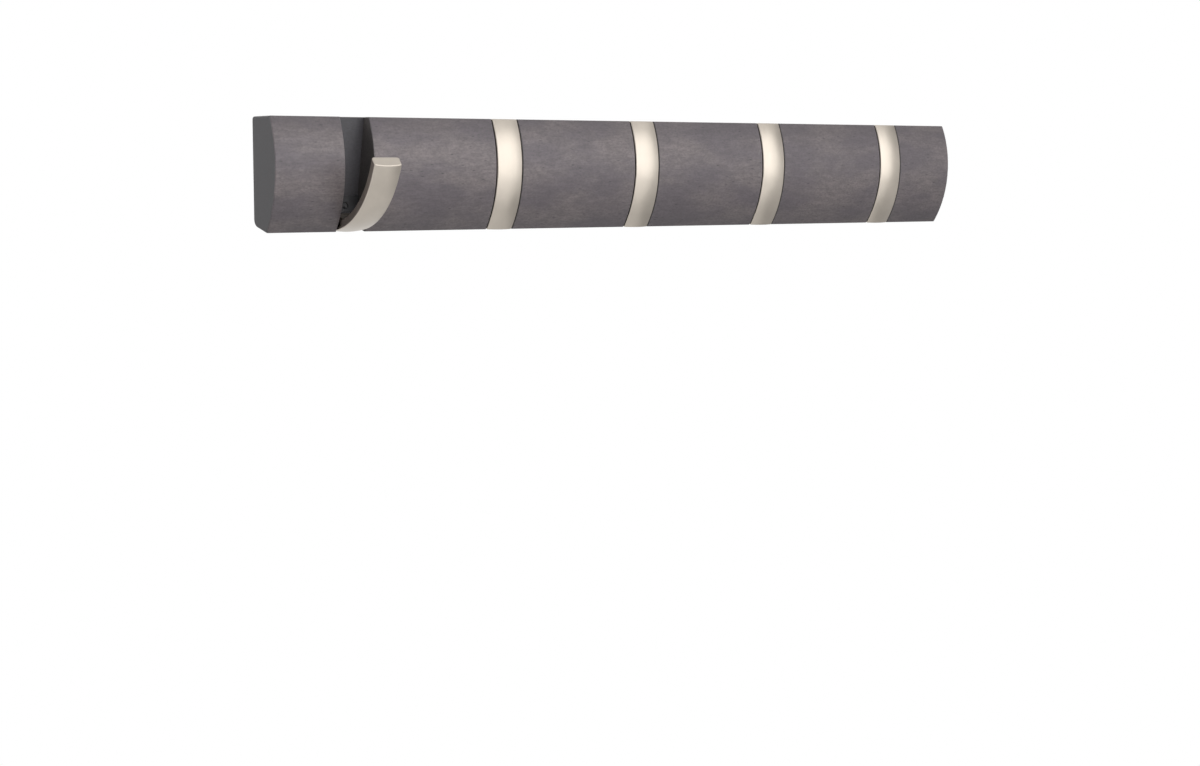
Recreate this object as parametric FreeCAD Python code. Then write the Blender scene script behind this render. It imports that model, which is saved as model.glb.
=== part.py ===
import FreeCAD, Part
import math
import os

# A wall rail of wood with a domed front and five cast metal hooks that swing out of slots in it.
# X runs along the rail, Y points at the wall and Z is up. The origin is the middle of the back face.
# All lengths are in millimetres and all angles in degrees.

# Wooden rail
rail_length = 514.0
rail_height = 67.5
rail_depth = 31.75
dome_radius = 62.0
dome_rise = 5.5          # crown of the dome above the rail's mid height
underside_slope = 13.0   # the underside climbs towards the wall
front_edge_round = 0.9
back_top_round = 2.0
back_bottom_round = 5.0
end_edge_round = 1.0
slot_edge_chamfer = 0.4
slot_floor_slope = 12.0  # the slot gets deeper downwards

# Hooks
hook_count = 5
open_hooks = (1,)
hook_pitch = 101.6
hook_width = 17.5
hook_thickness = 5.5
hook_crown = 0.9         # rise of the hook's face across its width
hook_front_round = 0.7   # long edges of the hook's face
hook_edge_round = 0.8    # edges of its tip and front edge of its foot
hook_back_round = 1.4    # long edges of its back
knuckle_fillet = 10.0
open_angle = 49.0

# Hinges
pin_diameter = 3.0
knuckle_wall = 3.5
ear_wall = 1.7
bracket_sheet = 2.0
bend_radius = 0.5        # inside of the bracket's folds
washer_thickness = 0.5
washer_wall = 1.5
hook_front_wall = 1.6    # metal left in front of the bracket's ears
heel_height = 1.25       # from the knuckle down to the rail's lower edge
pin_chamfer = 0.25

# Bracket screws
screw_diameter = 4.0
screw_head_diameter = 8.0
screw_head_height = 2.8
screw_head_round = 1.0
counterbore_depth = 3.6
recess_length = 4.4
recess_width = 0.9
recess_depth = 1.5

# Keyholes for the wall screws
keyhole_spacing = 406.4
keyhole_height = 6.0     # centre of the entry hole above mid height
keyhole_travel = 10.0
keyhole_entry_diameter = 10.0
keyhole_neck_width = 5.0
keyhole_lip = 4.0
keyhole_depth = 9.0

# Clearances
slot_gap = 0.6           # hook to each side of its slot
floor_gap = 0.1          # closed hook's tip, before its rounding, to the slot's floor
bracket_gap = 0.1        # bracket to each side of the slot
pin_gap = 0.05           # hook's bore to the pin
washer_gap = 0.08        # washer to the hook's knuckle
ear_gap = 0.45           # bracket's ears to the hook's front wall
stop_gap = 0.15          # heel to the bracket when the hook is fully open
head_gap = 0.4           # screw head to its counterbore
shank_gap = 0.2          # screw shank to its hole in the wood
thread_gap = 0.02        # screw shank to its hole in the bracket
overcut = 3.0            # how far a cut runs past the surface it opens
same = 0.001             # lengths closer than this are equal

V = FreeCAD.Vector
along_x = V(1, 0, 0)
along_y = V(0, 1, 0)

# Places that several pieces share, in the plane across the rail
half_height = rail_height / 2
half_length = rail_length / 2
dome_centre = V(0, dome_radius - rail_depth, dome_rise)
pin_radius = pin_diameter / 2
ear_radius = pin_radius + ear_wall
knuckle_radius = pin_radius + knuckle_wall
slope_rise = math.tan(math.radians(underside_slope))
floor_run = math.tan(math.radians(slot_floor_slope))


def dome_y(z, radius):
    """Depth at height z of a cylinder about the dome's axis."""
    return dome_centre.y - math.sqrt(radius ** 2 - (z - dome_centre.z) ** 2)


def underside_z(y):
    """Height of the rail's sloping underside at depth y."""
    return -half_height + (y - dome_y(-half_height, dome_radius)) * slope_rise


pivot_z = -half_height + heel_height + knuckle_radius
pivot_y = dome_y(pivot_z, dome_radius - hook_front_wall - ear_gap - ear_radius)
pivot = V(0, pivot_y, pivot_z)
hook_back_radius = dome_radius - hook_thickness
floor_top_y = dome_y(half_height, hook_back_radius) + floor_gap
base_front_y = pivot_y + knuckle_radius + stop_gap
floor_y = base_front_y + bracket_sheet
knee_z = half_height - (floor_y - floor_top_y) / floor_run
slot_width = hook_width + 2 * slot_gap
bracket_width = slot_width - 2 * bracket_gap
ear_inside = bracket_width / 2 - bracket_sheet
knuckle_half = ear_inside - washer_thickness - washer_gap
tab_bottom_z = pivot_z - ear_radius
tab_top_z = knee_z
screw_z = (pivot_z + ear_radius + tab_top_z) / 2
hook_places = [(n - (hook_count - 1) / 2) * hook_pitch for n in range(hook_count)]


def line(start, end):
    """Straight edge."""
    return Part.LineSegment(start, end).toShape()


def arc(centre, start, end):
    """Edge along the shorter arc about a centre."""
    toward = (start + end) * 0.5 - centre
    middle = centre + toward.normalize() * start.distanceToPoint(centre)
    return Part.Arc(start, middle, end).toShape()


def outline(points):
    """Straight edges round a list of corners."""
    return [line(a, b) for a, b in zip(points, points[1:] + points[:1])]


def prism(edges, start, travel):
    """Solid of a closed outline, moved to a start and drawn along a travel."""
    face = Part.Face(Part.Wire(edges))
    face.translate(start)
    return face.extrude(travel)


def across(edges, width):
    """Solid of an outline in the plane x = 0, drawn evenly to both sides."""
    return prism(edges, V(-width / 2, 0, 0), V(width, 0, 0))


def edge_at(solid, spot):
    """The edge of a solid whose middle is nearest a spot."""
    return min(solid.Edges, key=lambda edge: edge.CenterOfMass.distanceToPoint(spot))


def follows(edge, radius):
    """Whether an edge is an arc of a given radius."""
    return edge.Curve.TypeId == "Part::GeomCircle" and abs(edge.Curve.Radius - radius) < same


def ring(section):
    """Solid of a section in the plane z = dome_rise, turned about the dome's axis."""
    points = [V(x, dome_centre.y - radius, dome_centre.z) for x, radius in section]
    face = Part.Face(Part.Wire(outline(points)))
    return face.revolve(dome_centre, along_x, 360)


def rail_blank():
    """Moulded length of wood, before its slots and holes."""
    top_back = V(0, 0, half_height)
    top_front = V(0, dome_y(half_height, dome_radius), half_height)
    bottom_front = V(0, dome_y(-half_height, dome_radius), -half_height)
    bottom_back = V(0, 0, underside_z(0))
    section = [
        line(top_back, top_front),
        arc(dome_centre, top_front, bottom_front),
        line(bottom_front, bottom_back),
        line(bottom_back, top_back),
    ]
    solid = across(section, rail_length)
    rounds = [
        (top_front, front_edge_round),
        (bottom_front, front_edge_round),
        (top_back, back_top_round),
        (bottom_back, back_bottom_round),
    ]
    for corner, radius in rounds:
        solid = solid.makeFillet(radius, [edge_at(solid, corner)])
    ends = [face for face in solid.Faces if abs(abs(face.CenterOfMass.x) - half_length) < same]
    rims = [edge for face in ends for edge in face.Edges]
    return solid.makeFillet(end_edge_round, rims)


def slot_cut():
    """Room for one hook: a slot open at the front, top and bottom, with its front edges eased."""
    front = -rail_depth - overcut
    top = half_height + overcut
    bottom = -half_height - overcut
    section = outline([
        V(0, front, top),
        V(0, floor_top_y - overcut * floor_run, top),
        V(0, floor_y, knee_z),
        V(0, floor_y, bottom),
        V(0, front, bottom),
    ])
    half = slot_width / 2
    flare = half + slot_edge_chamfer + overcut
    eased = ring([
        (-half, dome_radius - slot_edge_chamfer),
        (half, dome_radius - slot_edge_chamfer),
        (flare, dome_radius + overcut),
        (-flare, dome_radius + overcut),
    ])
    return across(section, slot_width).fuse(eased)


def keyhole_track(width, y_start, depth):
    """Round-ended cut that climbs from a keyhole's entry, made from the back."""
    radius = width / 2
    low = V(0, 0, keyhole_height)
    high = V(0, 0, keyhole_height + keyhole_travel)
    side = V(radius, 0, 0)
    edges = [
        line(low + side, high + side),
        Part.Arc(high + side, high + V(0, 0, radius), high - side).toShape(),
        line(high - side, low - side),
        Part.Arc(low - side, low - V(0, 0, radius), low + side).toShape(),
    ]
    return prism(edges, V(0, y_start, 0), V(0, -depth, 0))


def keyhole_cut():
    """Entry hole, neck and undercut that take the head of one wall screw."""
    entry_radius = keyhole_entry_diameter / 2
    entry = Part.makeCylinder(entry_radius, keyhole_depth + overcut, V(0, overcut, keyhole_height), -along_y)
    neck = keyhole_track(keyhole_neck_width, overcut, keyhole_lip + overcut)
    undercut = keyhole_track(keyhole_entry_diameter, -keyhole_lip, keyhole_depth - keyhole_lip)
    return entry.fuse([neck, undercut])


def screw_hole_cut():
    """Counterbored hole from the back of the rail to the floor of a slot."""
    bore_radius = screw_head_diameter / 2 + head_gap
    hole_radius = screw_diameter / 2 + shank_gap
    counterbore = Part.makeCylinder(bore_radius, counterbore_depth + overcut, V(0, overcut, screw_z), -along_y)
    hole = Part.makeCylinder(hole_radius, overcut - floor_y, V(0, 0, screw_z), -along_y)
    return counterbore.fuse(hole)


def rail():
    """The wooden rail with its slots, keyholes and screw holes."""
    cuts = []
    for x in hook_places:
        cuts.append(slot_cut().translated(V(x, 0, 0)))
        cuts.append(screw_hole_cut().translated(V(x, 0, 0)))
    for x in (-keyhole_spacing / 2, keyhole_spacing / 2):
        cuts.append(keyhole_cut().translated(V(x, 0, 0)))
    return rail_blank().cut(cuts)


def hook_side():
    """Hook seen from the side, closed: arm, knuckle, heel and foot, drawn past its domed face."""
    heel_angle = math.radians(open_angle)
    toward_heel = V(0, math.cos(heel_angle), -math.sin(heel_angle))
    along_heel = V(0, -math.sin(heel_angle), -math.cos(heel_angle))
    heel_start = pivot + toward_heel * knuckle_radius
    drop = heel_start.z - underside_z(heel_start.y)
    heel_end = heel_start + along_heel * (drop / (math.cos(heel_angle) - math.sin(heel_angle) * slope_rise))

    to_pivot = pivot - dome_centre
    reach = to_pivot.Length
    inner = hook_back_radius - knuckle_fillet
    outer = knuckle_radius + knuckle_fillet
    run = (inner ** 2 - outer ** 2 + reach ** 2) / (2 * reach)
    lift = math.sqrt(inner ** 2 - run ** 2)
    ahead = to_pivot.normalize()
    upward = V(0, ahead.z, -ahead.y)
    fillet_centre = dome_centre + ahead * run + upward * lift
    on_arm = dome_centre + (fillet_centre - dome_centre) * (hook_back_radius / inner)
    on_knuckle = pivot + (fillet_centre - pivot) * (knuckle_radius / outer)

    front = -rail_depth - overcut
    tip_back = V(0, dome_y(half_height, hook_back_radius), half_height)
    tip_front = V(0, front, half_height)
    foot_front = V(0, front, underside_z(front))
    return [
        line(tip_front, tip_back),
        arc(dome_centre, tip_back, on_arm),
        arc(fillet_centre, on_arm, on_knuckle),
        arc(pivot, on_knuckle, heel_start),
        line(heel_start, heel_end),
        line(heel_end, foot_front),
        line(foot_front, tip_front),
    ]


def hook_face_ring():
    """Ring about the dome's axis whose rim is the hook's crowned face with its rounded long edges."""
    half = hook_width / 2
    crown_radius = (half ** 2 + hook_crown ** 2) / (2 * hook_crown)
    crown_centre = dome_radius + hook_crown - crown_radius
    round_x = half - hook_front_round
    round_r = crown_centre + math.sqrt((crown_radius - hook_front_round) ** 2 - round_x ** 2)
    share = crown_radius / (crown_radius - hook_front_round)
    inside = dome_radius / 2

    def spot(x, radius):
        return V(x, dome_centre.y - radius, dome_centre.z)

    def on_face(side):
        return spot(side * round_x * share, crown_centre + (round_r - crown_centre) * share)

    edges = [
        line(spot(half, inside), spot(half, round_r)),
        arc(spot(round_x, round_r), spot(half, round_r), on_face(1)),
        arc(spot(0, crown_centre), on_face(1), on_face(-1)),
        arc(spot(-round_x, round_r), on_face(-1), spot(-half, round_r)),
        line(spot(-half, round_r), spot(-half, inside)),
        line(spot(-half, inside), spot(half, inside)),
    ]
    return Part.Face(Part.Wire(edges)).revolve(dome_centre, along_x, 360)


def ear_room(side):
    """Space beside the knuckle for one ear of the bracket, behind the hook's front wall."""
    wall_radius = dome_radius - hook_front_wall
    top = pivot_z + ear_radius + ear_gap
    bottom = -half_height - overcut
    back = overcut
    start = V(0, dome_y(top, wall_radius), top)
    end = V(0, dome_y(bottom, wall_radius), bottom)
    edges = [
        line(start, V(0, back, top)),
        line(V(0, back, top), V(0, back, bottom)),
        line(V(0, back, bottom), end),
        arc(dome_centre, end, start),
    ]
    return prism(edges, V(side * knuckle_half, 0, 0), V(side * hook_width, 0, 0))


def hook():
    """One closed hook in the plane x = 0."""
    solid = across(hook_side(), hook_width).common(hook_face_ring())
    back = [edge for edge in solid.Edges if follows(edge, hook_back_radius)]
    solid = solid.makeFillet(hook_back_round, back)
    tip = max(solid.Faces, key=lambda face: face.CenterOfMass.z)
    foot = min(solid.Faces, key=lambda face: face.CenterOfMass.z)
    foot_front = min(foot.Edges, key=lambda edge: edge.CenterOfMass.y)
    solid = solid.makeFillet(hook_edge_round, [*tip.Edges, foot_front])
    bore = Part.makeCylinder(pin_radius + pin_gap, hook_width, pivot - along_x * (hook_width / 2), along_x)
    return solid.cut([ear_room(-1), ear_room(1), bore])


def hinge_bracket():
    """Folded bracket: a tab for its screw and two ears that carry the pin."""
    half = bracket_width / 2
    fold = bracket_sheet + bend_radius
    back = floor_y
    nose = pivot_y - ear_radius
    channel = outline([
        V(-half, back, 0),
        V(half, back, 0),
        V(half, nose, 0),
        V(ear_inside, nose, 0),
        V(ear_inside, base_front_y, 0),
        V(-ear_inside, base_front_y, 0),
        V(-ear_inside, nose, 0),
        V(-half, nose, 0),
    ])
    solid = prism(channel, V(0, 0, tab_bottom_z), V(0, 0, tab_top_z - tab_bottom_z))
    outer_folds = [edge_at(solid, V(x, back, (tab_bottom_z + tab_top_z) / 2)) for x in (-half, half)]
    solid = solid.makeFillet(fold, outer_folds)
    inner_folds = [
        edge_at(solid, V(x, base_front_y, (tab_bottom_z + tab_top_z) / 2)) for x in (-ear_inside, ear_inside)
    ]
    solid = solid.makeFillet(bend_radius, inner_folds)
    low = V(0, pivot_y, pivot_z - ear_radius)
    high = V(0, pivot_y, pivot_z + ear_radius)
    step = V(0, base_front_y, high.z)
    side = [
        line(low, V(0, back, low.z)),
        line(V(0, back, low.z), V(0, back, tab_top_z)),
        line(V(0, back, tab_top_z), V(0, base_front_y, tab_top_z)),
        line(V(0, base_front_y, tab_top_z), step),
        line(step, high),
        Part.Arc(high, V(0, nose, pivot_z), low).toShape(),
    ]
    solid = solid.common(across(side, bracket_width))
    pin_hole = Part.makeCylinder(pin_radius, bracket_width, pivot - along_x * half, along_x)
    thread = Part.makeCylinder(screw_diameter / 2 + thread_gap, bracket_sheet, V(0, back, screw_z), -along_y)
    return solid.cut([pin_hole, thread])


def hinge_pin():
    """Round pin, flush with the outsides of the bracket's ears."""
    pin = Part.makeCylinder(pin_radius, bracket_width, pivot - along_x * (bracket_width / 2), along_x)
    rims = [edge for face in pin.Faces if face.Surface.TypeId == "Part::GeomPlane" for edge in face.Edges]
    return pin.makeChamfer(pin_chamfer, rims)


def friction_washers():
    """Pair of washers on the pin, one against the inside of each ear."""
    pair = []
    for side in (-1, 1):
        start = pivot + along_x * (side * ear_inside)
        inward = along_x * -side
        disc = Part.makeCylinder(pin_radius + washer_wall, washer_thickness, start, inward)
        pair.append(disc.cut(Part.makeCylinder(pin_radius + pin_gap, washer_thickness, start, inward)))
    return Part.makeCompound(pair)


def bracket_screw():
    """Pan-head machine screw with a cross recess, its head in the counterbore."""
    seat = V(0, -counterbore_depth, screw_z)
    head = Part.makeCylinder(screw_head_diameter / 2, screw_head_height, seat, along_y)
    head = head.makeFillet(screw_head_round, [edge_at(head, seat + along_y * screw_head_height)])
    shank = Part.makeCylinder(screw_diameter / 2, -counterbore_depth - base_front_y, seat, -along_y)
    floor = seat + along_y * (screw_head_height - recess_depth)
    arms = []
    for length, width in ((recess_length, recess_width), (recess_width, recess_length)):
        corner = floor - V(length / 2, 0, width / 2)
        arms.append(Part.makeBox(length, recess_depth, width, corner))
    return head.fuse(shank).cut(arms).removeSplitter()


def place(solid, x):
    """Copy of a piece moved along the rail to its hinge."""
    return solid.translated(V(x, 0, 0))


def pieces():
    """Every piece by name, at its place in the rail."""
    named = {"rail": rail()}
    closed = hook()
    opened = closed.rotated(pivot, along_x, open_angle)
    screws = []
    for number, x in enumerate(hook_places, 1):
        named[f"hook_{number}"] = place(opened if number in open_hooks else closed, x)
        named[f"hinge_bracket_{number}"] = place(hinge_bracket(), x)
        named[f"hinge_pin_{number}"] = place(hinge_pin(), x)
        named[f"friction_washers_{number}"] = place(friction_washers(), x)
        screws.append(place(bracket_screw(), x))
    named["bracket_screws"] = Part.makeCompound(screws)
    return named


os.makedirs("parts", exist_ok=True)
for name, shape in pieces().items():
    shape.exportStep(f"parts/{name}.step")
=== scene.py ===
"""Looks of a wall rail with folding hooks: stained wood, satin nickel and the steel of its hinges.

Every length is in metres, in the frame of the part: X along the rail, Y into the wall, Z up.
"""

import math

import bmesh
import bpy
from bpy.props import FloatProperty, FloatVectorProperty, IntProperty, PointerProperty
from mathutils import Matrix, Vector


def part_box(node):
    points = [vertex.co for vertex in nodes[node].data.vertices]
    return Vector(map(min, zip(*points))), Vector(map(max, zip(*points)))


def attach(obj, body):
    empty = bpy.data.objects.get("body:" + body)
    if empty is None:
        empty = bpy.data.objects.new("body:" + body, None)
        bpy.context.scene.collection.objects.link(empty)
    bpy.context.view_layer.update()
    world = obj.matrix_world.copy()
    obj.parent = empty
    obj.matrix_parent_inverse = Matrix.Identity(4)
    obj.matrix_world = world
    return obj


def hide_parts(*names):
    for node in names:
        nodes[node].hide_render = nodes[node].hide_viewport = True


bl_info = {
    "name": "Folding Hook Rail",
    "version": (1, 0, 0),
    "blender": (4, 5, 0),
    "location": "View3D > Sidebar > Hook Rail",
    "description": "Finishes a wooden wall rail with folding hooks and sets it in a studio",
    "category": "Object",
}

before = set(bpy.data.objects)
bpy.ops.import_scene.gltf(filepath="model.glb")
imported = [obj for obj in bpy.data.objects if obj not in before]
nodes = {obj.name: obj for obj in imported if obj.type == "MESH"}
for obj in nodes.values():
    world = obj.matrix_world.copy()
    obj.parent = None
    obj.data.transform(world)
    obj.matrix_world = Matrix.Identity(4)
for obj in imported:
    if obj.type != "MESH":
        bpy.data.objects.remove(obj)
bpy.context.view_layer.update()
MM = 0.001

# Range that holds nearly all values of a cloudy pattern
CLOUDY = (0.3, 0.7)


def colour(name, description, default):
    """Property for a scene-linear colour."""
    return FloatVectorProperty(
        name=name, description=description, default=default, size=3, subtype="COLOR", min=0.0, max=1.0
    )


def length(name, description, default):
    """Property for a length in metres."""
    return FloatProperty(
        name=name, description=description, default=default, min=0.0, precision=5,
        unit="LENGTH", subtype="DISTANCE",
    )


def share(name, description, default):
    """Property for a share from 0 to 1."""
    return FloatProperty(
        name=name, description=description, default=default, min=0.0, max=1.0, subtype="FACTOR"
    )


def angle(name, description, degrees):
    """Property for an angle, given in degrees."""
    return FloatProperty(
        name=name, description=description, default=math.radians(degrees), unit="ROTATION", subtype="ANGLE"
    )


def plain(name, description, default):
    """Property for a number from 0 up, such as watts or a ratio."""
    return FloatProperty(name=name, description=description, default=default, min=0.0)


class WoodSettings(bpy.types.PropertyGroup):
    """Stain, figure, lacquer and painted shade of the rail."""

    warm: colour("Warm stain", "Where the brown of the wood shows through", (0.220, 0.188, 0.191))
    cool: colour("Cool stain", "Where the stain lies thick", (0.153, 0.131, 0.146))
    dark: colour("Dark grain", "Colour of the grain's dark fibres", (0.078, 0.072, 0.074))
    pore_tint: colour("Pores", "Colour in the open pores", (0.050, 0.046, 0.050))
    end_grain: colour("End grain", "Stain on the cut ends", (0.166, 0.163, 0.168))
    # Painted shade: darker colours for the floors and walls of the slots, standing in for the shade in these
    # recesses
    slot_floor_shade: colour("Slot floors", "Thick stain on the floors of the slots", (0.075, 0.073, 0.080))
    slot_wall_shade: colour("Slot walls", "Stain on the walls of the slots", (0.120, 0.110, 0.107))
    # Painted shade: how dark the front is painted along its top and bottom, and how far this reaches from
    # those edges
    edge_shade: share("Edge shade", "How dark the stain is along the front's top and bottom", 0.22)
    edge_reach: length("Edge reach", "How far the darker stain reaches from those edges", 0.016)
    patch: length("Patch size", "Height of a patch of even stain", 0.018)
    patch_stretch: plain("Patch stretch", "How much longer than high a patch is", 2.4)
    figure: plain("Figure", "Which part of the log shows its patches, in patch heights", 3.35)
    mottle: length("Mottle size", "Height of a small cloud in the stain", 0.0026)
    mottle_stretch: plain("Mottle stretch", "How much longer than high a cloud is", 3.0)
    mottle_dark: share("Mottle darkness", "How dark the small clouds are", 0.36)
    fibre: length("Fibre width", "Height of a fibre of the grain", 0.0007)
    fibre_stretch: plain("Fibre stretch", "How much longer than high a fibre is", 7.0)
    fibre_dark: share("Fibre darkness", "How dark the fibres are", 0.30)
    fibre_relief: share("Fibre relief", "Height of the fibres, as a share of the pores' depth", 0.4)
    speck: length("Speck size", "Height of a speck in the stain", 0.0010)
    speck_stretch: plain("Speck stretch", "How much longer than high a speck is", 1.6)
    speck_dark: share("Speck darkness", "How dark the specks are", 0.42)
    end_dark: share("End darkness", "How dark the specks are on the cut ends", 0.12)
    slot_dark: share("Slot darkness", "How dark the specks are in the slots", 0.5)
    pore: length("Pore spacing", "Height between two rows of pores", 0.0020)
    pore_stretch: plain("Pore stretch", "How much longer than high a pore is", 3.5)
    pore_dark: share("Pore darkness", "How dark the pores are", 0.7)
    pore_depth: length("Pore depth", "How deep the open pores are", 0.00012)
    roughness: share("Lacquer roughness", "Roughness of the satin lacquer", 0.40)
    end_roughness: share("End roughness", "Roughness of the cut ends", 0.68)
    gloss: share("Gloss", "How strongly the lacquer mirrors", 0.42)


class NickelSettings(bpy.types.PropertyGroup):
    """Satin nickel plate of the hooks."""

    tint: colour("Nickel", "Colour of the plate", (0.478, 0.432, 0.377))
    roughness: share("Roughness", "Roughness of the satin finish", 0.33)
    brush: length("Brush pitch", "Width of the brush marks along a hook", 0.00022)
    brush_stretch: plain("Brush stretch", "How much longer than wide a brush mark is", 90.0)
    brush_depth: length("Brush depth", "Depth of the brush marks", 0.000004)
    brush_spread: share("Brush spread", "How far the roughness changes from mark to mark", 0.03)
    clouds: plain("Clouds", "Clouds of the plate in a metre", 90.0)
    cloud_spread: share("Cloud spread", "How far the roughness changes from cloud to cloud", 0.015)
    dullness: share("Dull tint", "Level of the plate's dull clouds", 0.93)


class HingeSettings(bpy.types.PropertyGroup):
    """Finishes of the brackets, their screws, the pins and the washers."""

    bracket: colour("Bracket", "Black coat of the brackets and screws", (0.014, 0.014, 0.016))
    peel: plain("Orange peel", "Bumps of the black coat in a metre", 1800.0)
    scuffs: plain("Scuffs", "Scuffs of the black coat in a metre", 420.0)
    dust: plain("Dust", "How much paler than the coat a scuff is", 2.2)
    steel: colour("Plated steel", "Zinc plate of the pins", (0.560, 0.565, 0.580))
    bloom_tint: colour("Bloom", "Bluish clouds in the zinc", (0.4816, 0.5085, 0.5568))
    bloom: plain("Bloom clouds", "Clouds of the zinc in a metre", 700.0)
    washer: colour("Washer", "Nylon of the friction washers", (0.720, 0.700, 0.630))
    washer_aged: colour("Aged washer", "Yellowed specks of the nylon", (0.6768, 0.6440, 0.5418))
    nylon_specks: plain("Nylon specks", "Specks of the nylon in a metre", 2400.0)


class ScrewSettings(bpy.types.PropertyGroup):
    """Machine screws that hold the brackets."""

    count: IntProperty(name="Count", description="Screws along the rail", default=5, min=2)
    pitch: length("Thread pitch", "Distance between two turns of the thread", 0.0007)
    thread_depth: length("Thread depth", "From crest to root of the thread", 0.00038)
    head_radius: length("Head radius", "Radius of the pan head", 0.004)
    head_height: length("Head height", "Height of the pan head", 0.0028)
    head_round: length("Head rounding", "Radius of the head's rim", 0.001)
    shank_radius: length("Shank radius", "Radius over the thread's crests", 0.00198)
    recess_length: length("Recess length", "Across the arms of the cross recess", 0.0044)
    recess_width: length("Recess width", "Width of one arm of the recess", 0.0009)
    recess_depth: length("Recess depth", "Depth of the recess", 0.0015)
    sides: IntProperty(name="Sides", description="Facets round a screw", default=36, min=12, max=96)
    seed: IntProperty(name="Seed", description="Seed of the screws' turns", default=4, min=0)


class StageSettings(bpy.types.PropertyGroup):
    """Floor, lights and camera."""

    floor_drop: length("Floor drop", "From the rail's middle down to the floor", 1.2)
    floor_glow: share("Floor glow", "How white the floor looks below the rail", 0.92)
    floor_inner: length("Shaded floor", "Radius within which the floor keeps some shade", 0.5)
    floor_outer: length("White floor", "Radius from which the floor is white", 2.5)
    floor_size: length("Floor size", "Radius of the floor", 6.0)
    floor_tint: colour("Floor", "Colour of the floor", (0.60, 0.60, 0.60))
    floor_clouds: plain("Floor clouds", "Clouds of the floor in a metre", 9.0)
    key_power: plain("Key power", "Watts of the large front light", 11.4)
    top_power: plain("Top power", "Watts of the overhead light", 2.8)
    left_power: plain("Left power", "Watts of the light on the left end", 1.6)
    right_power: plain("Right power", "Watts of the light on the right end", 1.7)
    box_power: plain("Soft box power", "Watts of the soft box that the metal mirrors", 8.0)
    card_power: plain("Card power", "Watts of the tall card that the metal mirrors", 6.5)
    roof_power: plain("Roof power", "Watts of the faint light that the hooks' tips mirror", 0.7)
    flag_pale: share("Flag middle level", "Level of the grey flag that the metal mirrors on the right", 0.83)
    flag_dark: share("Flag foot level", "Level of the flag at its foot", 0.48)
    flag_dusk: share("Flag top level", "Level of the flag at its top", 0.57)
    flag_width: length("Flag width", "Width of the flag, along the rail's depth", 2.4)
    flag_top: length("Flag height", "Height of the flag's top edge above the rail's middle", 1.2)
    flag_distance: length("Flag top distance", "From the rail's middle to the flag's top edge", 1.65)
    flag_foot: length("Flag foot distance", "From the rail's middle to the flag's lower edge", 0.85)
    back_power: plain("Back power", "Watts of the rear light", 15.0)
    ambient: share("Ambient", "Level of the light from all round", 0.07)
    eye: FloatVectorProperty(
        name="Eye", description="Place of the camera", default=(-0.73487, -1.11329, 0.00208), size=3,
        subtype="XYZ", unit="LENGTH",
    )
    heading: angle("Heading", "Camera's turn to the right of the rail's depth", 32.8595)
    pitch: angle("Pitch", "Camera's tilt upwards", -5.9430)
    lens: plain("Lens", "Focal length in millimetres on a 36 mm frame", 61.0679)


class HookRailSettings(bpy.types.PropertyGroup):
    """All settings of the rail."""

    wood: PointerProperty(type=WoodSettings)
    nickel: PointerProperty(type=NickelSettings)
    hinge: PointerProperty(type=HingeSettings)
    screw: PointerProperty(type=ScrewSettings)
    stage: PointerProperty(type=StageSettings)


def settings():
    """Settings kept with the scene."""
    return bpy.context.scene.hook_rail


# Building blocks of the finishes


def join(tree, socket, value):
    """Links a socket to another, or sets its value."""
    if isinstance(value, bpy.types.NodeSocket):
        tree.links.new(value, socket)
    elif isinstance(socket.default_value, (int, float, str)) or not hasattr(value, "__len__"):
        socket.default_value = value
    elif len(value) + 1 == len(socket.default_value):
        socket.default_value = (*value, 1.0)
    else:
        socket.default_value = value


def add(tree, kind, inputs=None, **options):
    """Adds a node, sets its options and fills its inputs by name or index."""
    made = tree.nodes.new(kind)
    for name, value in options.items():
        setattr(made, name, value)
    for key, value in (inputs or {}).items():
        join(tree, made.inputs[key], value)
    return made


def math_node(tree, operation, first, second=0.0):
    """Result of one operation on one or two numbers."""
    return add(tree, "ShaderNodeMath", {0: first, 1: second}, operation=operation).outputs[0]


def remap(tree, value, low, high, to_low=0.0, to_high=1.0):
    """A number moved smoothly from one range to another."""
    inputs = {"Value": value, "From Min": low, "From Max": high, "To Min": to_low, "To Max": to_high}
    return add(tree, "ShaderNodeMapRange", inputs, interpolation_type="SMOOTHSTEP").outputs[0]


def blend(tree, factor, first, second):
    """Mix of two colours: the first at 0, the second at 1."""
    made = add(tree, "ShaderNodeMix", data_type="RGBA")
    join(tree, made.inputs[0], factor)
    join(tree, made.inputs[6], first)
    join(tree, made.inputs[7], second)
    return made.outputs[2]


def scaled(tree, place, scale, shift=(0.0, 0.0, 0.0)):
    """Object coordinates in units of a pattern's own size along each axis, moved by a number of these."""
    return add(tree, "ShaderNodeMapping", {"Vector": place, "Scale": scale, "Location": shift}).outputs[0]


def evenly(tree, place, repeats):
    """Object coordinates in units of a pattern that repeats so many times in a metre."""
    return scaled(tree, place, (repeats, repeats, repeats))


def noise(tree, place, detail=2.0, roughness=0.5, distortion=0.0):
    """Cloudy pattern about one unit in size."""
    inputs = {"Vector": place, "Scale": 1.0, "Detail": detail}
    inputs.update({"Roughness": roughness, "Distortion": distortion})
    return add(tree, "ShaderNodeTexNoise", inputs).outputs["Fac"]


def bump(tree, height, distance, strength):
    """Normal raised by a height from 0 to 1."""
    inputs = {"Height": height, "Distance": distance, "Strength": strength}
    return add(tree, "ShaderNodeBump", inputs).outputs[0]


def new_finish(name):
    """New material with a surface shader: the material, its tree, the shader and the coordinates."""
    material = bpy.data.materials.new(name)
    material.use_nodes = True
    tree = material.node_tree
    tree.nodes.clear()
    shader = add(tree, "ShaderNodeBsdfPrincipled")
    output = add(tree, "ShaderNodeOutputMaterial")
    tree.links.new(shader.outputs[0], output.inputs["Surface"])
    coordinates = add(tree, "ShaderNodeTexCoord")
    return material, tree, shader, coordinates


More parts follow.
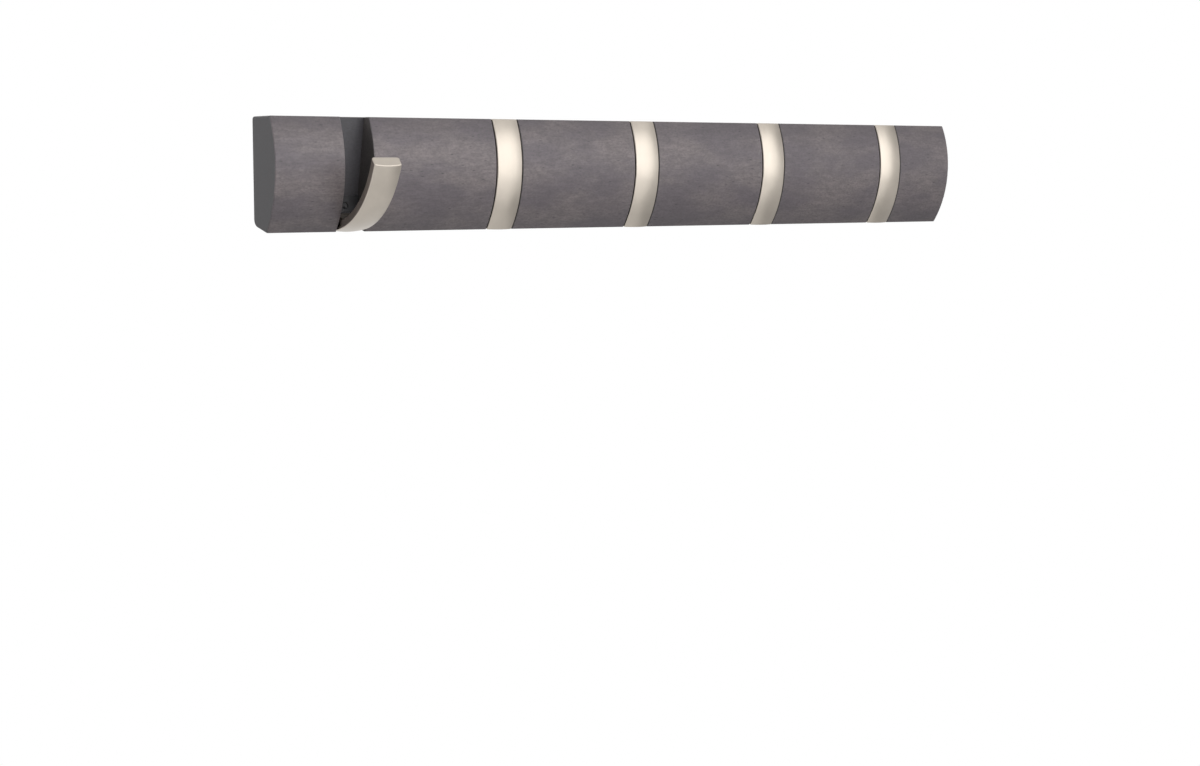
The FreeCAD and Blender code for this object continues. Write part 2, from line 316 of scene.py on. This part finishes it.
def dress(node_names, material):
    """Gives CAD nodes a finish."""
    for name in node_names:
        mesh = nodes[name].data
        mesh.materials.clear()
        mesh.materials.append(material)


def named(start):
    """Names of the CAD nodes that begin with a word."""
    return sorted(name for name in nodes if name.startswith(start))


# Finishes


def stained_wood():
    """Grey stain over close-grained wood, with patches, fibres and fine dark pores, under satin lacquer, and
    painted shade in the slots and along the front's top and bottom.
    """
    wood = settings().wood
    material, tree, shader, coordinates = new_finish("stained_wood")
    place = coordinates.outputs["Object"]
    facing = add(tree, "ShaderNodeSeparateXYZ", {0: coordinates.outputs["Normal"]}).outputs["X"]
    end = remap(tree, math_node(tree, "ABSOLUTE", facing), low=0.55, high=0.9)

    def grain(size, stretch, depth=0.0):
        return scaled(tree, place, (1 / (size * stretch), 1 / size, 1 / size), (0.0, depth, 0.0))

    patches = noise(tree, grain(wood.patch, wood.patch_stretch, wood.figure), detail=3.0, distortion=0.15)
    mottle = noise(tree, grain(wood.mottle, wood.mottle_stretch), detail=3.0, roughness=0.6)
    fibres = noise(tree, grain(wood.fibre, wood.fibre_stretch), detail=3.0, roughness=0.65)
    specks = noise(tree, grain(wood.speck, wood.speck_stretch), detail=3.0)
    pores = open_pores(tree, grain(wood.pore, wood.pore_stretch))

    front = blend(tree, remap(tree, patches, low=0.34, high=0.66), wood.cool[:], wood.warm[:])
    # Each pattern with the range over which it sets in and how dark it gets
    layers = (
        (mottle, 0.32, 0.70, wood.mottle_dark),
        (fibres, 0.34, 0.70, wood.fibre_dark),
        (specks, 0.38, 0.70, wood.speck_dark),
    )
    for pattern, low, high, darkness in layers:
        front = blend(tree, remap(tree, pattern, low, high, 0.0, darkness), front, wood.dark[:])
    front = blend(tree, math_node(tree, "MULTIPLY", pores, wood.pore_dark), front, wood.pore_tint[:])
    # Painted shade: the front is darkened towards its top and bottom
    edge_painted_shade = math_node(tree, "MULTIPLY", near_edges(tree, place), wood.edge_shade)
    front = blend(tree, edge_painted_shade, front, wood.dark[:])
    cut = blend(tree, remap(tree, specks, *CLOUDY, 0.0, wood.end_dark), wood.end_grain[:], wood.dark[:])
    # The slots' floors and walls get darker colours of their own: painted shade in these recesses
    slot = blend(tree, end, wood.slot_floor_shade[:], wood.slot_wall_shade[:])
    slot = blend(tree, remap(tree, specks, 0.3, 0.75, 0.0, wood.slot_dark), slot, wood.pore_tint[:])
    outside = blend(tree, end, front, cut)
    join(tree, shader.inputs["Base Color"], blend(tree, slot_inside(tree, place), outside, slot))

    relief = math_node(tree, "SUBTRACT", math_node(tree, "MULTIPLY", fibres, wood.fibre_relief), pores)
    join(tree, shader.inputs["Normal"], bump(tree, relief, wood.pore_depth, strength=0.5))
    shinier, duller = wood.roughness - 0.04, wood.roughness + 0.06
    sheen = remap(tree, mottle, 0.25, 0.75, shinier, duller)
    ends = math_node(tree, "MULTIPLY", end, wood.end_roughness)
    join(tree, shader.inputs["Roughness"], math_node(tree, "MAXIMUM", sheen, ends))
    shader.inputs["Specular IOR Level"].default_value = wood.gloss
    return material


def open_pores(tree, place):
    """1 in the open pores, which lie in some cells of a scattered pattern, 0 between them."""
    cells = add(tree, "ShaderNodeTexVoronoi", {"Vector": place, "Scale": 1.0, "Randomness": 1.0})
    chosen = add(tree, "ShaderNodeSeparateColor", {0: cells.outputs["Color"]}).outputs[0]
    inside = remap(tree, cells.outputs["Distance"], low=0.05, high=0.24, to_low=1.0, to_high=0.0)
    return math_node(tree, "MULTIPLY", inside, remap(tree, chosen, low=0.45, high=0.75))


def near_edges(tree, place):
    """1 at the top and bottom of the rail, 0 over the middle of its height: where the painted shade along
    the edges goes.
    """
    low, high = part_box("rail")
    half = (high[2] - low[2]) / 2
    height = add(tree, "ShaderNodeSeparateXYZ", {0: place}).outputs["Z"]
    from_middle = math_node(tree, "ABSOLUTE", math_node(tree, "SUBTRACT", height, (low[2] + high[2]) / 2))
    return remap(tree, from_middle, half - settings().wood.edge_reach, half)


def slot_inside(tree, place):
    """1 on the walls and floors of the slots, where their painted shade goes, 0 on the rest of the rail."""
    rail_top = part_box("rail")[1][2]
    bracket_low, bracket_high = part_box("hinge_bracket_3")
    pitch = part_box("hinge_bracket_4")[0][0] - bracket_low[0]
    half = (bracket_high[0] - bracket_low[0]) / 2
    # Ranges over which the painted shade of the slots ends
    wall = (half + 0.14 * MM, half + 0.45 * MM)
    back = (bracket_high[1] - 0.1 * MM, bracket_high[1] + 0.2 * MM)
    top = (rail_top - 0.5 * MM, rail_top - 0.1 * MM)
    axis = add(tree, "ShaderNodeSeparateXYZ", {0: place}).outputs
    repeat = {0: axis["X"], 1: pitch / 2, 2: -pitch / 2}
    from_middle = add(tree, "ShaderNodeMath", repeat, operation="WRAP").outputs[0]
    across = remap(tree, math_node(tree, "ABSOLUTE", from_middle), *wall, 1.0, 0.0)
    ahead = remap(tree, axis["Y"], *back, 1.0, 0.0)
    below = remap(tree, axis["Z"], *top, 1.0, 0.0)
    return math_node(tree, "MULTIPLY", across, math_node(tree, "MULTIPLY", ahead, below))


def satin_nickel():
    """Warm nickel plate with fine brush marks that run along a hook."""
    nickel = settings().nickel
    material, tree, shader, coordinates = new_finish("satin_nickel")
    place = coordinates.outputs["Object"]
    mark_length = nickel.brush * nickel.brush_stretch
    mark_scale = (1 / nickel.brush, 1 / mark_length, 1 / mark_length)
    marks = noise(tree, scaled(tree, place, mark_scale), detail=3.0, roughness=0.7)
    clouds = noise(tree, evenly(tree, place, nickel.clouds), detail=3.0)
    tint = nickel.tint[:]
    dull = [part * nickel.dullness for part in tint]
    join(tree, shader.inputs["Base Color"], blend(tree, remap(tree, clouds, *CLOUDY), dull, tint))
    brushed = remap(tree, marks, *CLOUDY, -nickel.brush_spread, nickel.brush_spread)
    clouded = remap(tree, clouds, *CLOUDY, -nickel.cloud_spread, nickel.cloud_spread)
    spread = math_node(tree, "ADD", brushed, clouded)
    join(tree, shader.inputs["Roughness"], math_node(tree, "ADD", spread, nickel.roughness))
    join(tree, shader.inputs["Normal"], bump(tree, marks, nickel.brush_depth, strength=0.6))
    shader.inputs["Metallic"].default_value = 1.0
    return material


def black_coat(name):
    """Matt black coat on steel, with a faint orange peel and dusty scuffs."""
    hinge = settings().hinge
    material, tree, shader, coordinates = new_finish(name)
    place = coordinates.outputs["Object"]
    peel = noise(tree, evenly(tree, place, hinge.peel), detail=2.0)
    scuffs = noise(tree, evenly(tree, place, hinge.scuffs), detail=5.0, roughness=0.7)
    coat = hinge.bracket[:]
    dusty = [part * hinge.dust for part in coat]
    scuffed = remap(tree, scuffs, low=0.5, high=0.75)
    join(tree, shader.inputs["Base Color"], blend(tree, scuffed, coat, dusty))
    join(tree, shader.inputs["Roughness"], remap(tree, scuffs, *CLOUDY, to_low=0.42, to_high=0.56))
    join(tree, shader.inputs["Normal"], bump(tree, peel, distance=0.00003, strength=0.4))
    return material


def zinc_plate():
    """Bright zinc plate on the pins."""
    hinge = settings().hinge
    material, tree, shader, coordinates = new_finish("zinc_plate")
    bloom = noise(tree, evenly(tree, coordinates.outputs["Object"], hinge.bloom), detail=4.0, roughness=0.6)
    tint = blend(tree, remap(tree, bloom, low=0.35, high=0.65), hinge.bloom_tint[:], hinge.steel[:])
    join(tree, shader.inputs["Base Color"], tint)
    join(tree, shader.inputs["Roughness"], remap(tree, bloom, *CLOUDY, to_low=0.24, to_high=0.38))
    join(tree, shader.inputs["Normal"], bump(tree, bloom, distance=0.00001, strength=0.5))
    shader.inputs["Metallic"].default_value = 1.0
    return material


def nylon():
    """Natural nylon, slightly translucent."""
    hinge = settings().hinge
    material, tree, shader, coordinates = new_finish("nylon")
    specks = noise(tree, evenly(tree, coordinates.outputs["Object"], hinge.nylon_specks), detail=3.0)
    tint = blend(tree, remap(tree, specks, *CLOUDY), hinge.washer_aged[:], hinge.washer[:])
    join(tree, shader.inputs["Base Color"], tint)
    join(tree, shader.inputs["Roughness"], remap(tree, specks, *CLOUDY, to_low=0.45, to_high=0.58))
    join(tree, shader.inputs["Normal"], bump(tree, specks, distance=0.00002, strength=0.3))
    shader.inputs["Subsurface Weight"].default_value = 0.15
    shader.inputs["Subsurface Radius"].default_value = (0.0008, 0.0007, 0.0005)
    return material


# Shapes of the screws


def ring(shape, radius, depth, sides):
    """Circle of points about the Y axis."""
    turns = [2 * math.pi * step / sides for step in range(sides)]
    return [shape.verts.new((radius * math.cos(turn), depth, radius * math.sin(turn))) for turn in turns]


def skin(shape, first, second):
    """Band of faces between two rings."""
    for step in range(len(first)):
        after = (step + 1) % len(first)
        shape.faces.new((first[step], first[after], second[after], second[step]))


def fan(shape, edge, centre):
    """Triangles from a closed line of points to one point."""
    for step in range(len(edge)):
        shape.faces.new((edge[step], edge[(step + 1) % len(edge)], centre))


def add_head(shape):
    """Pan head on the Y axis with its seat at 0 and a tapered cross recess in its top."""
    screw = settings().screw
    arc_steps = 6
    rings = [ring(shape, screw.head_radius, 0.0, screw.sides)]
    for step in range(arc_steps + 1):
        turn = math.pi / 2 * step / arc_steps
        radius = screw.head_radius - screw.head_round * (1 - math.cos(turn))
        depth = screw.head_height - screw.head_round * (1 - math.sin(turn))
        rings.append(ring(shape, radius, depth, screw.sides))
    fan(shape, rings[0], shape.verts.new((0.0, 0.0, 0.0)))
    for first, second in zip(rings, rings[1:]):
        skin(shape, first, second)

    def cross(size, depth):
        long, short = size * screw.recess_length / 2, size * screw.recess_width / 2
        corners = [(long, -short), (long, short), (short, short)]
        corners += [(short, long), (-short, long), (-short, short)]
        corners += [(-x, -z) for x, z in corners]
        return [shape.verts.new((x, depth, z)) for x, z in corners]

    mouth = cross(1.0, screw.head_height)
    bottom_share = 0.7
    bottom = cross(bottom_share, screw.head_height - screw.recess_depth)
    skin(shape, mouth, bottom)
    shape.faces.new(bottom)
    edges = []
    for line in (rings[-1], mouth):
        edges += [shape.edges.get((line[step - 1], line[step])) for step in range(len(line))]
    bmesh.ops.triangle_fill(shape, edges=edges, use_beauty=True)


def add_thread(shape, reach):
    """Threaded shank from just inside the head down to its end, where the thread runs out."""
    screw = settings().screw
    sides = screw.sides
    core = screw.shank_radius - screw.thread_depth
    buried = 0.0003
    crest_lift = 0.5
    end_lift = 0.3
    turns = (reach + buried) / screw.pitch - 1
    steps = int(turns * sides)

    def point(step, radius, lift):
        turn = 2 * math.pi * step / sides
        depth = -reach + screw.pitch * (step / sides + lift)
        return shape.verts.new((radius * math.cos(turn), depth, radius * math.sin(turn)))

    def crest(step):
        lead = min(1.0, step / sides)
        return core + screw.thread_depth * lead * lead * (3 - 2 * lead)

    roots = [point(step, core, 0.0) for step in range(steps + sides + 1)]
    crests = [point(step, crest(step), crest_lift) for step in range(steps + 1)]
    for step in range(steps):
        shape.faces.new((roots[step], roots[step + 1], crests[step + 1], crests[step]))
        shape.faces.new((crests[step], crests[step + 1], roots[step + sides + 1], roots[step + sides]))
    end = [*roots[:sides + 1], crests[0]]
    fan(shape, end, shape.verts.new((0.0, -reach + screw.pitch * end_lift, 0.0)))
    start = [*roots[steps:], crests[steps]]
    fan(shape, start, shape.verts.new((0.0, buried, 0.0)))


def screw_mesh(reach):
    """One screw with its seat at the origin, its head towards +Y."""
    shape = bmesh.new()
    add_head(shape)
    add_thread(shape, reach)
    bmesh.ops.recalc_face_normals(shape, faces=shape.faces)
    sharp = math.radians(32)
    for face in shape.faces:
        face.smooth = True
    for edge in shape.edges:
        edge.smooth = edge.calc_face_angle(0.0) < sharp
    mesh = bpy.data.meshes.new("bracket_screw")
    shape.to_mesh(mesh)
    shape.free()
    return mesh


def row_tree():
    """Node tree that sets copies of its input in a row, each with a turn of its own about Y."""
    tree = bpy.data.node_groups.new("screw_row", "GeometryNodeTree")
    sockets = (("Geometry", "Geometry"), ("Count", "Int"), ("Start", "Vector"), ("Step", "Vector"),
               ("Seed", "Int"), ("Finish", "Material"))
    for name, kind in sockets:
        tree.interface.new_socket(name, in_out="INPUT", socket_type="NodeSocket" + kind)
    tree.interface.new_socket("Geometry", in_out="OUTPUT", socket_type="NodeSocketGeometry")
    given = add(tree, "NodeGroupInput").outputs
    line = {"Count": given["Count"], "Start Location": given["Start"], "Offset": given["Step"]}
    points = add(tree, "GeometryNodeMeshLine", line).outputs[0]
    turn = add(tree, "FunctionNodeRandomValue", {"Seed": given["Seed"]}, data_type="FLOAT_VECTOR")
    turn.inputs["Min"].default_value = (0.0, 0.0, 0.0)
    turn.inputs["Max"].default_value = (0.0, math.pi / 2, 0.0)
    copies = add(tree, "GeometryNodeInstanceOnPoints", {
        "Points": points, "Instance": given["Geometry"], "Rotation": turn.outputs["Value"],
    })
    whole = add(tree, "GeometryNodeRealizeInstances", {0: copies.outputs[0]})
    finish = {"Geometry": whole.outputs[0], "Material": given["Finish"]}
    dressed = add(tree, "GeometryNodeSetMaterial", finish)
    tree.links.new(dressed.outputs[0], add(tree, "NodeGroupOutput").inputs[0])
    return tree


def make_row(name, mesh, inputs):
    """Piece made of a row of copies of one mesh."""
    piece = bpy.data.objects.new(name, mesh)
    bpy.context.scene.collection.objects.link(piece)
    tree = row_tree()
    modifier = piece.modifiers.new("row", "NODES")
    modifier.node_group = tree
    for socket in tree.interface.items_tree:
        if socket.in_out == "INPUT" and socket.name in inputs:
            modifier[socket.identifier] = inputs[socket.name]
    done = bpy.data.meshes.new_from_object(piece.evaluated_get(bpy.context.evaluated_depsgraph_get()))
    piece.modifiers.clear()
    piece.data = done
    return piece


# Pieces


class HOOKRAIL_OT_rail(bpy.types.Operator):
    """Stain and lacquer the wooden rail"""

    bl_idname = "hook_rail.rail"
    bl_label = "Wooden Rail"

    def execute(self, context):
        dress(["rail"], stained_wood())
        return {"FINISHED"}


class HOOKRAIL_OT_hooks(bpy.types.Operator):
    """Plate the folding hooks"""

    bl_idname = "hook_rail.hooks"
    bl_label = "Folding Hooks"

    def execute(self, context):
        dress(named("hook_"), satin_nickel())
        return {"FINISHED"}


class HOOKRAIL_OT_hinges(bpy.types.Operator):
    """Finish the brackets, pins and washers of the hinges"""

    bl_idname = "hook_rail.hinges"
    bl_label = "Hinges"

    def execute(self, context):
        dress(named("hinge_bracket_"), black_coat("black_coat"))
        dress(named("hinge_pin_"), zinc_plate())
        dress(named("friction_washers_"), nylon())
        return {"FINISHED"}


class HOOKRAIL_OT_screws(bpy.types.Operator):
    """Set a threaded screw behind each bracket"""

    bl_idname = "hook_rail.screws"
    bl_label = "Bracket Screws"

    def execute(self, context):
        screw = settings().screw
        low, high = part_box("bracket_screws")
        seat = high[1] - screw.head_height
        step = (high[0] - low[0] - 2 * screw.head_radius) / (screw.count - 1)
        screws = make_row("screws", screw_mesh(seat - low[1]), {
            "Count": screw.count,
            "Start": (low[0] + screw.head_radius, seat, (low[2] + high[2]) / 2),
            "Step": (step, 0.0, 0.0),
            "Seed": screw.seed,
            "Finish": black_coat("black_screw"),
        })
        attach(screws, "rail")
        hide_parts("bracket_screws")
        return {"FINISHED"}


# Stage


def floor_finish():
    """Pale floor that keeps some of the rail's shadow below it and fades to white further out."""
    stage = settings().stage
    material, tree, shader, coordinates = new_finish("pale_floor")
    shader.inputs["Roughness"].default_value = 0.7
    place = coordinates.outputs["Object"]
    clouds = noise(tree, evenly(tree, place, stage.floor_clouds), detail=3.0)
    tint = stage.floor_tint[:]
    shaded = [part * 0.97 for part in tint]
    join(tree, shader.inputs["Base Color"], blend(tree, clouds, shaded, tint))
    radius = add(tree, "ShaderNodeVectorMath", {0: place}, operation="LENGTH").outputs["Value"]
    white = remap(tree, radius, stage.floor_inner, stage.floor_outer, stage.floor_glow, 1.0)
    glow = add(tree, "ShaderNodeEmission", {"Color": (1.0, 1.0, 1.0), "Strength": 1.0})
    seen = math_node(tree, "MULTIPLY", shown_rays(tree), white)
    mixed = add(tree, "ShaderNodeMixShader", {0: seen, 1: shader.outputs[0], 2: glow.outputs[0]})
    output = next(node for node in tree.nodes if node.type == "OUTPUT_MATERIAL")
    tree.links.new(mixed.outputs[0], output.inputs["Surface"])
    return material


def shown_rays(tree):
    """1 for rays that show the background: from the camera, off gloss and through glass."""
    path = add(tree, "ShaderNodeLightPath")
    shown = math_node(tree, "MAXIMUM", path.outputs["Is Camera Ray"], path.outputs["Is Glossy Ray"])
    return math_node(tree, "MAXIMUM", shown, path.outputs["Is Transmission Ray"])


def make_floor():
    """Round floor well below the rail."""
    stage = settings().stage
    mesh = bpy.data.meshes.new("floor")
    disc = bmesh.new()
    bmesh.ops.create_circle(disc, cap_ends=True, segments=96, radius=stage.floor_size)
    disc.to_mesh(mesh)
    disc.free()
    mesh.materials.append(floor_finish())
    floor = bpy.data.objects.new("floor", mesh)
    floor.location.z = -stage.floor_drop
    bpy.context.scene.collection.objects.link(floor)


def make_flag():
    """Grey flag that leans out on the right of the rail, darker at its foot and top. Only gloss shows it."""
    stage = settings().stage
    material = bpy.data.materials.new("grey_flag")
    material.use_nodes = True
    tree = material.node_tree
    tree.nodes.clear()
    place = add(tree, "ShaderNodeTexCoord").outputs["Object"]
    height = add(tree, "ShaderNodeSeparateXYZ", {0: place}).outputs["Z"]
    foot_heights = (-1.0, -0.2)
    top_heights = (0.1, 0.7)
    floor_gap = 0.05
    rising = remap(tree, height, *foot_heights, stage.flag_dark, stage.flag_pale)
    falling = remap(tree, height, *top_heights, stage.flag_pale, stage.flag_dusk)
    level = math_node(tree, "MINIMUM", rising, falling)
    shade = add(tree, "ShaderNodeEmission", {"Color": (1.0, 1.0, 1.0), "Strength": level})
    output = add(tree, "ShaderNodeOutputMaterial")
    tree.links.new(shade.outputs[0], output.inputs["Surface"])
    half, low = stage.flag_width / 2, floor_gap - stage.floor_drop
    corners = [(stage.flag_foot, -half, low), (stage.flag_foot, half, low)]
    corners += [(stage.flag_distance, half, stage.flag_top), (stage.flag_distance, -half, stage.flag_top)]
    mesh = bpy.data.meshes.new("flag")
    mesh.from_pydata(corners, [], [(0, 1, 2, 3)])
    mesh.materials.append(material)
    flag = bpy.data.objects.new("flag", mesh)
    flag.visible_camera = False
    flag.visible_diffuse = False
    flag.visible_shadow = False
    bpy.context.scene.collection.objects.link(flag)


def make_world():
    """White surround, which lights the rail evenly and weakly."""
    world = bpy.data.worlds.new("studio")
    world.use_nodes = True
    tree = world.node_tree
    tree.nodes.clear()
    level = remap(tree, shown_rays(tree), 0.0, 1.0, settings().stage.ambient, 1.0)
    light = add(tree, "ShaderNodeBackground", {"Color": (1.0, 1.0, 1.0), "Strength": level})
    output = add(tree, "ShaderNodeOutputWorld")
    tree.links.new(light.outputs[0], output.inputs["Surface"])
    bpy.context.scene.world = world


def make_light(name, power, turn, lift, distance, size):
    """Rectangular soft light that faces the middle of the rail. Turn 0 is in front, 90 to the right."""
    lamp = bpy.data.lights.new(name, "AREA")
    lamp.shape = "RECTANGLE"
    lamp.size, lamp.size_y = size
    lamp.energy = power
    azimuth = math.radians(turn)
    elevation = math.radians(lift)
    level = math.cos(elevation)
    toward = Vector((math.sin(azimuth) * level, -math.cos(azimuth) * level, math.sin(elevation)))
    light = bpy.data.objects.new(name, lamp)
    light.location = toward * distance
    light.rotation_euler = toward.to_track_quat("Z", "Y").to_euler()
    light.visible_camera = False
    bpy.context.scene.collection.objects.link(light)
    return light


def make_camera():
    """Camera level with the rail, in front of its left end."""
    stage = settings().stage
    across = Vector((math.cos(stage.heading), -math.sin(stage.heading), 0.0))
    ahead = Vector((
        math.sin(stage.heading) * math.cos(stage.pitch),
        math.cos(stage.heading) * math.cos(stage.pitch),
        math.sin(stage.pitch),
    ))
    upward = across.cross(ahead)
    lens = bpy.data.cameras.new("camera")
    lens.sensor_fit = "HORIZONTAL"
    lens.sensor_width = 36.0
    lens.lens = stage.lens
    lens.clip_start = 0.01
    camera = bpy.data.objects.new("camera", lens)
    turned = Matrix((across, upward, -ahead)).transposed().to_4x4()
    camera.matrix_world = Matrix.Translation(stage.eye) @ turned
    bpy.context.scene.collection.objects.link(camera)
    bpy.context.scene.camera = camera


class HOOKRAIL_OT_stage(bpy.types.Operator):
    """Set the floor, the lights and the camera"""

    bl_idname = "hook_rail.stage"
    bl_label = "Stage"

    def execute(self, context):
        stage = settings().stage
        make_floor()
        make_flag()
        make_world()
        matt = [
            make_light("key", stage.key_power, turn=-5.0, lift=17.0, distance=1.15, size=(1.1, 0.8)),
            make_light("top", stage.top_power, turn=-10.0, lift=62.0, distance=1.5, size=(1.6, 1.2)),
            make_light("left", stage.left_power, turn=-98.0, lift=22.0, distance=1.0, size=(0.5, 0.4)),
            make_light("right", stage.right_power, turn=98.0, lift=18.0, distance=1.0, size=(0.5, 0.4)),
            make_light("back", stage.back_power, turn=150.0, lift=30.0, distance=1.8, size=(1.4, 1.0)),
        ]
        shiny = [
            make_light("soft_box", stage.box_power, turn=17.0, lift=13.0, distance=1.6, size=(1.7, 1.4)),
            make_light("card", stage.card_power, turn=17.0, lift=-4.0, distance=1.6, size=(1.9, 2.2)),
            make_light("roof", stage.roof_power, turn=60.0, lift=64.0, distance=1.6, size=(1.2, 1.2)),
        ]
        for light in matt:
            light.visible_glossy = False
        for light in shiny:
            light.visible_diffuse = False
        make_camera()
        context.scene.view_settings.view_transform = "Standard"
        return {"FINISHED"}


# Panel and registration


class HOOKRAIL_PT_panel(bpy.types.Panel):
    """Steps that finish the rail, in order"""

    bl_label = "Folding Hook Rail"
    bl_idname = "HOOKRAIL_PT_panel"
    bl_space_type = "VIEW_3D"
    bl_region_type = "UI"
    bl_category = "Hook Rail"

    def draw(self, context):
        for operator in OPERATORS:
            self.layout.operator(operator.bl_idname)


GROUPS = (WoodSettings, NickelSettings, HingeSettings, ScrewSettings, StageSettings, HookRailSettings)
OPERATORS = (HOOKRAIL_OT_rail, HOOKRAIL_OT_hooks, HOOKRAIL_OT_hinges, HOOKRAIL_OT_screws, HOOKRAIL_OT_stage)
CLASSES = (*GROUPS, *OPERATORS, HOOKRAIL_PT_panel)


def register():
    """Adds the classes and the scene's settings."""
    for item in CLASSES:
        bpy.utils.register_class(item)
    bpy.types.Scene.hook_rail = PointerProperty(type=HookRailSettings)


def unregister():
    """Takes the classes and the settings away again."""
    del bpy.types.Scene.hook_rail
    for item in reversed(CLASSES):
        bpy.utils.unregister_class(item)


def main():
    """Builds the finished rail."""
    register()
    bpy.ops.hook_rail.rail()
    bpy.ops.hook_rail.hooks()
    bpy.ops.hook_rail.hinges()
    bpy.ops.hook_rail.screws()
    bpy.ops.hook_rail.stage()


if __name__ == "__main__":
    main()
